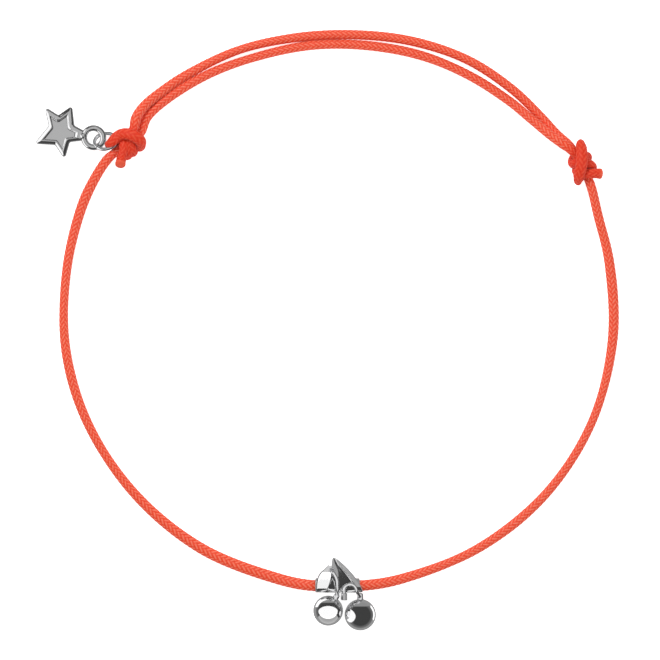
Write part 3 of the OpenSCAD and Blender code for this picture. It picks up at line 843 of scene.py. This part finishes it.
def cord_material(name, specular):
    """Braided shiny yarn, with painted shade in its crevices and a painted highlight along each
    float; it is smoother where a knot pulls it tight, and its colour there is darker with painted
    shade.
    """
    n = Nodes(bpy.data.materials.new(name))
    uv = n.add("ShaderNodeUVMap", uv_map="braid")
    split = n.add("ShaderNodeSeparateXYZ")
    n.link(uv.outputs["UV"], split.inputs[0])
    a, b = split.outputs[0], split.outputs[1]
    i, j = n.math("ROUND", a), n.math("ROUND", b)
    da, db = n.math("SUBTRACT", a, i), n.math("SUBTRACT", b, j)

    def float_height(strand, along, across, middle):
        """As float_shape, from the braid's coordinates."""
        place = n.math("ADD", n.math("ADD", strand, along), 2 - middle + WRAP)
        place = n.math("SUBTRACT", n.math("MODULO", place, 4.0), 2.0)
        wave = n.math("MULTIPLY", n.math("COSINE", n.math("MULTIPLY", place, math.pi / 2)),
                      FLOAT_FLAT)
        wave = n.math("MAXIMUM", n.math("MINIMUM", wave, 1.0), -1.0)
        part = n.math("POWER", n.math("DIVIDE", n.math("ABSOLUTE", across), STRAND_HALF), 2.0)
        dome = n.math("SQRT", n.math("MAXIMUM", n.math("SUBTRACT", 1.0, part), 0.0))
        return n.math("ADD", n.math("MULTIPLY", wave, FLOAT_LIFT),
                      n.math("MULTIPLY", dome, ROUNDNESS))
    plus = float_height(i, b, da, PLUS_MIDDLE)
    minus = float_height(j, a, db, MINUS_MIDDLE)
    on_top = n.math("GREATER_THAN", plus, minus)
    height = n.math("MAXIMUM", plus, minus)

    def pick(first, second):
        """The value that belongs to the strand that is on top."""
        return n.math("ADD", n.math("MULTIPLY", on_top, first),
                      n.math("MULTIPLY", n.math("SUBTRACT", 1.0, on_top), second))
    across = pick(da, db)
    along = pick(b, a)
    strand = pick(i, n.math("ADD", j, OTHER_WAY))
    fibre = n.noise(n.vector(n.math("MULTIPLY", across, FIBRE_ACROSS),
                             n.math("MULTIPLY", along, FIBRE_ALONG),
                             n.math("MULTIPLY", strand, FIBRE_SHIFT)),
                    scale=1.6, detail=3.0, roughness=0.6)
    strand_tone = n.noise(n.vector(n.math("MULTIPLY", strand, 5.3), 0.0,
                                   n.math("MULTIPLY", along, 0.15)), scale=1.0, detail=1.0)
    wander = n.noise(n.add("ShaderNodeTexCoord").outputs["Object"], scale=160.0)
    melt = n.add("ShaderNodeAttribute", attribute_name="melted").outputs["Fac"]
    tight = n.add("ShaderNodeAttribute", attribute_name="tight").outputs["Fac"]

    # The tone follows the braid's height: painted shade darkens the crevices, and more so in a
    # knot
    tone = height
    for noise, shift in ((fibre, FIBRE_TONE), (strand_tone, STRAND_TONE), (wander, WANDER_TONE)):
        tone = n.math("ADD", tone, n.scaled(noise, 0.3, 0.7, -shift, shift))
    colour = n.blend(tight, *[n.ramp(tone, list(zip(TONE_STOPS, tones)))
                              for tones in CORD_TONES])
    highlight_colour = n.blend(tight, *[(*tones[3], 1) for tones in CORD_TONES])
    # A painted highlight along each float's middle: the colour turns to the crest colour there
    painted_highlight = n.math("SUBTRACT", 1.0, n.math("POWER", n.math("DIVIDE", n.math(
        "ABSOLUTE", across), HIGHLIGHT_HALF), 2.0))
    painted_highlight = n.math("MULTIPLY", n.math("MAXIMUM", painted_highlight, 0.0), n.scaled(
        height, 0.60, 0.90, 0.0, 1.0))
    painted_highlight = n.math("MULTIPLY", painted_highlight, n.scaled(fibre, 0.35, 0.6, 0.55, 1.0))
    colour = n.blend(painted_highlight, colour, highlight_colour)
    colour = n.blend(melt, colour, MELTED_COLOUR)

    shader = n.add("ShaderNodeBsdfPrincipled")
    n.link(colour, shader.inputs["Base Color"])
    rough = n.scaled(fibre, 0.3, 0.7, n.math("MULTIPLY_ADD", tight, ROUGH_TIGHT, ROUGH_LOW),
                     ROUGH_HIGH)
    n.link(n.math("SUBTRACT", rough, n.math("MULTIPLY", melt, ROUGH_MELTED)),
           shader.inputs["Roughness"])
    shader.inputs["Specular IOR Level"].default_value = specular
    braid_bump = n.math("MULTIPLY_ADD", tight, BRAID_BUMP_TIGHT, BRAID_BUMP)
    bump_height = n.math("ADD", n.math("MULTIPLY", height, braid_bump),
                         n.math("MULTIPLY", fibre, FIBRE_BUMP))
    bump_height = n.math("MULTIPLY", bump_height, n.math("SUBTRACT", 1.0, melt))
    n.bump(shader, bump_height, strength=0.8, distance=7e-5)
    return n.finish(shader)


# The ambient occlusion's reach in a corner, how much darker the painted shade in the corners is,
# and the grey of a cloud
CORNER_REACH = 0.0005
CORNER_SHADE_TONE = 0.32
CLOUD_GREY = (0.55, 0.55, 0.56, 1)


def silver_material(name, base, roughness, corner_shade):
    """Polished silver: fine scratches, uneven polish, and painted shade that darkens its corners.
    """
    n = Nodes(bpy.data.materials.new(name))
    where = n.add("ShaderNodeTexCoord").outputs["Object"]
    cloud = n.noise(where, scale=420.0, detail=3.0, roughness=0.6)
    grain = n.noise(where, scale=5200.0, roughness=0.6)
    # Scratches: a noise stretched along a slanting direction
    stretch = n.add("ShaderNodeMapping")
    stretch.inputs["Scale"].default_value = (900.0, 9000.0, 2500.0)
    stretch.inputs["Rotation"].default_value = (0.3, 0.5, 0.7)
    n.link(where, stretch.inputs["Vector"])
    scratch = n.noise(stretch.outputs[0], scale=1.0, detail=4.0, roughness=0.7)
    # Painted shade: the colour turns towards a dark copy of the base where ambient occlusion finds
    # a corner
    hollow = n.add("ShaderNodeAmbientOcclusion", samples=6, only_local=True)
    hollow.inputs["Distance"].default_value = CORNER_REACH
    shade = n.scaled(hollow.outputs["AO"], 0.25, 0.85, 1.0, 0.0)
    shade = n.math("MULTIPLY", shade, corner_shade)
    colour = n.blend(shade, (*base, 1), (*(c * CORNER_SHADE_TONE for c in base), 1))
    colour = n.blend(n.scaled(cloud, 0.35, 0.65, 0.0, 0.06), colour, CLOUD_GREY)
    shader = n.add("ShaderNodeBsdfPrincipled")
    n.link(colour, shader.inputs["Base Color"])
    shader.inputs["Metallic"].default_value = 1.0
    rough = n.math("ADD", n.scaled(cloud, 0.3, 0.7, roughness * 0.75, roughness * 1.5),
                   n.scaled(grain, 0.4, 0.7, 0.0, 0.02))
    n.link(rough, shader.inputs["Roughness"])
    n.bump(shader, scratch, strength=0.25, distance=1.5e-6)
    return n.finish(shader)


cord_braid.data.materials.append(cord_material("braided_cord", 0.38))
knot_cord = cord_material("braided_cord_in_a_knot", 0.28)
left_knot_braid.data.materials.append(knot_cord)
right_knot_braid.data.materials.append(knot_cord)
# The last number sets how strong the painted shade in the corners is
polished = silver_material("polished_silver", (0.90, 0.90, 0.905), 0.07, 0.8)
wire_silver = silver_material("silver_wire", (0.88, 0.88, 0.89), 0.12, 0.5)
for piece in (leaf_piece, left_ball_piece, right_ball_piece, star_piece):
    piece.data.materials.append(polished)
for piece in (fittings_piece, left_stem_piece, right_stem_piece, ring_piece):
    piece.data.materials.append(wire_silver)

# The floor, a sheet of white paper just under the plane that the bracelet lies on
FLOOR_HALF = 0.6
FLOOR_Z = -0.00002
PAPER_GLOW = 0.8
floor_mesh = bpy.data.meshes.new("floor")
floor_mesh.from_pydata([(-FLOOR_HALF, -FLOOR_HALF, 0), (FLOOR_HALF, -FLOOR_HALF, 0),
                        (FLOOR_HALF, FLOOR_HALF, 0), (-FLOOR_HALF, FLOOR_HALF, 0)], [],
                       [(0, 1, 2, 3)])
floor = bpy.data.objects.new("floor", floor_mesh)
bpy.context.collection.objects.link(floor)
floor.location.z = FLOOR_Z
paper = Nodes(bpy.data.materials.new("white_paper"))
paper_shader = paper.add("ShaderNodeBsdfPrincipled")
paper_fleck = paper.noise(paper.add("ShaderNodeTexCoord").outputs["Object"], scale=900.0,
                          detail=3.0)
paper.link(paper.ramp(paper_fleck, [(0.3, (0.90, 0.90, 0.90)), (0.7, (0.92, 0.92, 0.92))]),
           paper_shader.inputs["Base Color"])
paper_shader.inputs["Roughness"].default_value = 0.9
paper_shader.inputs["Specular IOR Level"].default_value = 0.1
paper_shader.inputs["Emission Color"].default_value = (1, 1, 1, 1)
paper_shader.inputs["Emission Strength"].default_value = PAPER_GLOW
floor_mesh.materials.append(paper.finish(paper_shader))

# The world: even light for all but mirror rays, which see a dim studio instead
AMBIENT = 0.62
world = bpy.data.worlds.new("studio")
bpy.context.scene.world = world
sky = Nodes(world)
ray = sky.add("ShaderNodeTexCoord").outputs["Generated"]


def sky_patch(way, low, high):
    """0 where the cosine to a direction is low, 1 where it is high, and smooth between."""
    node = sky.add("ShaderNodeVectorMath", operation="DOT_PRODUCT")
    sky.link(ray, node.inputs[0])
    node.inputs[1].default_value = unit(np.array(way, float))
    step = sky.add("ShaderNodeMapRange", interpolation_type="SMOOTHSTEP")
    sky.link(node.outputs["Value"], step.inputs["Value"])
    step.inputs["From Min"].default_value = low
    step.inputs["From Max"].default_value = high
    return step.outputs["Result"]


# What all the silver mirrors: a dark ceiling that brightens down the walls, a grey screen at the
# far side and a pale table. WALLS is what the walls add to the ceiling's brightness
CEILING = 0.065
WALLS = 0.13
FAR_SCREEN = 0.36
TABLE = 0.40
mirrored = sky.math("MULTIPLY_ADD", sky_patch((0, 0, 1), 0.25, -0.20), WALLS, CEILING)
for patch, brightness in ((sky_patch((0.0, 0.88, -0.40), 0.64, 0.76), FAR_SCREEN),
                          (sky_patch((0, 0, -1), 0.24, 0.38), TABLE)):
    mirrored = sky.math("MAXIMUM", mirrored, sky.math("MULTIPLY", patch, brightness))
glossy = sky.add("ShaderNodeLightPath").outputs["Is Glossy Ray"]
level = sky.math("ADD", sky.math("MULTIPLY", glossy, mirrored),
                 sky.math("MULTIPLY", sky.math("SUBTRACT", 1.0, glossy), AMBIENT))
background = sky.add("ShaderNodeBackground")
sky.link(level, background.inputs["Strength"])
world_out = sky.add("ShaderNodeOutputWorld")
sky.link(background.outputs[0], world_out.inputs["Surface"])
# The silver mirrors neither the cord nor the floor
cloth = [cord_braid, left_knot_braid, right_knot_braid]
for piece in cloth + [floor]:
    piece.visible_glossy = False


def soft_box(name, at, aim, size, watts, receivers, shape="RECTANGLE"):
    """A soft light that lights only the given pieces."""
    data = bpy.data.lights.new(name, "AREA")
    data.shape = shape
    data.size, data.size_y = size
    data.energy = watts
    light = bpy.data.objects.new(name, data)
    bpy.context.collection.objects.link(light)
    light.location = at
    light.rotation_euler = (Vector(aim) - Vector(at)).to_track_quat("-Z", "Y").to_euler()
    light.visible_camera = False
    lit = bpy.data.collections.new(name + "_lit")
    for piece in receivers:
        lit.objects.link(piece)
    light.light_linking.receiver_collection = lit


KEY_WATTS = 0.98
FILL_WATTS = 0.35
soft_box("key", (-0.16, 0.20, 0.36), (0, 0, 0), (0.20, 0.14), KEY_WATTS, cloth + [floor])
soft_box("fill", (0.24, -0.10, 0.34), (0, 0, 0), (0.20, 0.20), FILL_WATTS, cloth + [floor])


def mirrored_screen(name, middle, way, far, size, level, receivers, shape="RECTANGLE"):
    """A soft box of a given brightness that the given silver pieces mirror, and no others."""
    at = np.array(middle) * MM + far * unit(np.array(way, float))
    share = math.pi / 4 if shape == "ELLIPSE" else 1
    watts = level * math.pi * size[0] * size[1] * share
    soft_box(name, tuple(at), tuple(np.array(middle) * MM), size, watts, receivers, shape)


# The brightness of a white screen
WHITE = 1.05
# The left cherry mirrors a long white screen overhead, a dim one in front and a low one behind
mirrored_screen("left_ball_top", LEFT_BALL_AT, (0, -0.16, 1), 0.05, (0.60, 0.12), WHITE,
                [left_ball_piece], "ELLIPSE")
mirrored_screen("left_ball_front", LEFT_BALL_AT, (0, -0.95, 0.20), 0.07, (0.24, 0.10), 0.36,
                [left_ball_piece])
mirrored_screen("left_ball_back", LEFT_BALL_AT, (-0.62, 0.70, -0.40), 0.03, (0.036, 0.020), WHITE,
                [left_ball_piece])
# The right one mirrors a white screen at its left and a low narrow one at its right
mirrored_screen("right_ball_left", RIGHT_BALL_AT, (-0.98, -0.10, 0.12), 0.03, (0.042, 0.066),
                WHITE, [right_ball_piece], "ELLIPSE")
mirrored_screen("right_ball_right", RIGHT_BALL_AT, (0.90, 0.10, -0.55), 0.03, (0.030, 0.012),
                WHITE, [right_ball_piece])
# The leaf mirrors a white screen over its left half, a grey one over its rim and a dim one at
# its right; the wires and the fittings mirror one screen each, straight above
mirrored_screen("leaf_left", (-2, -32, 2), (-0.70, 0.10, 0.70), 0.06, (0.13, 0.040), 0.95,
                [leaf_piece])
mirrored_screen("leaf_back", (-2, -31, 2), (-0.42, 0.80, 0.48), 0.05, (0.07, 0.040), 0.60,
                [leaf_piece])
mirrored_screen("leaf_right", (1, -32, 2), (0.66, 0.50, 0.56), 0.06, (0.09, 0.09), 0.34,
                [leaf_piece])
mirrored_screen("stems_top", (1, -33, 2.5), (0.1, 0.1, 1), 0.06, (0.13, 0.15), 0.80,
                [left_stem_piece, right_stem_piece])
mirrored_screen("sleeve_top", (0.5, -34, 2.5), (0.2, 0.1, 1), 0.06, (0.13, 0.15), 0.42,
                [fittings_piece])
# The star and its ring mirror a grey screen above them and a white one at their left, which the
# charm's small silver mirrors too
mirrored_screen("star_top", STAR_AT, (0.15, 0.15, 1), 0.06, (0.10, 0.10), 0.42,
                [star_piece, ring_piece])
mirrored_screen("star_left", STAR_AT, (-0.90, -0.20, 0.36), 0.05, (0.10, 0.062), WHITE,
                [star_piece, ring_piece, left_stem_piece, right_stem_piece, fittings_piece])
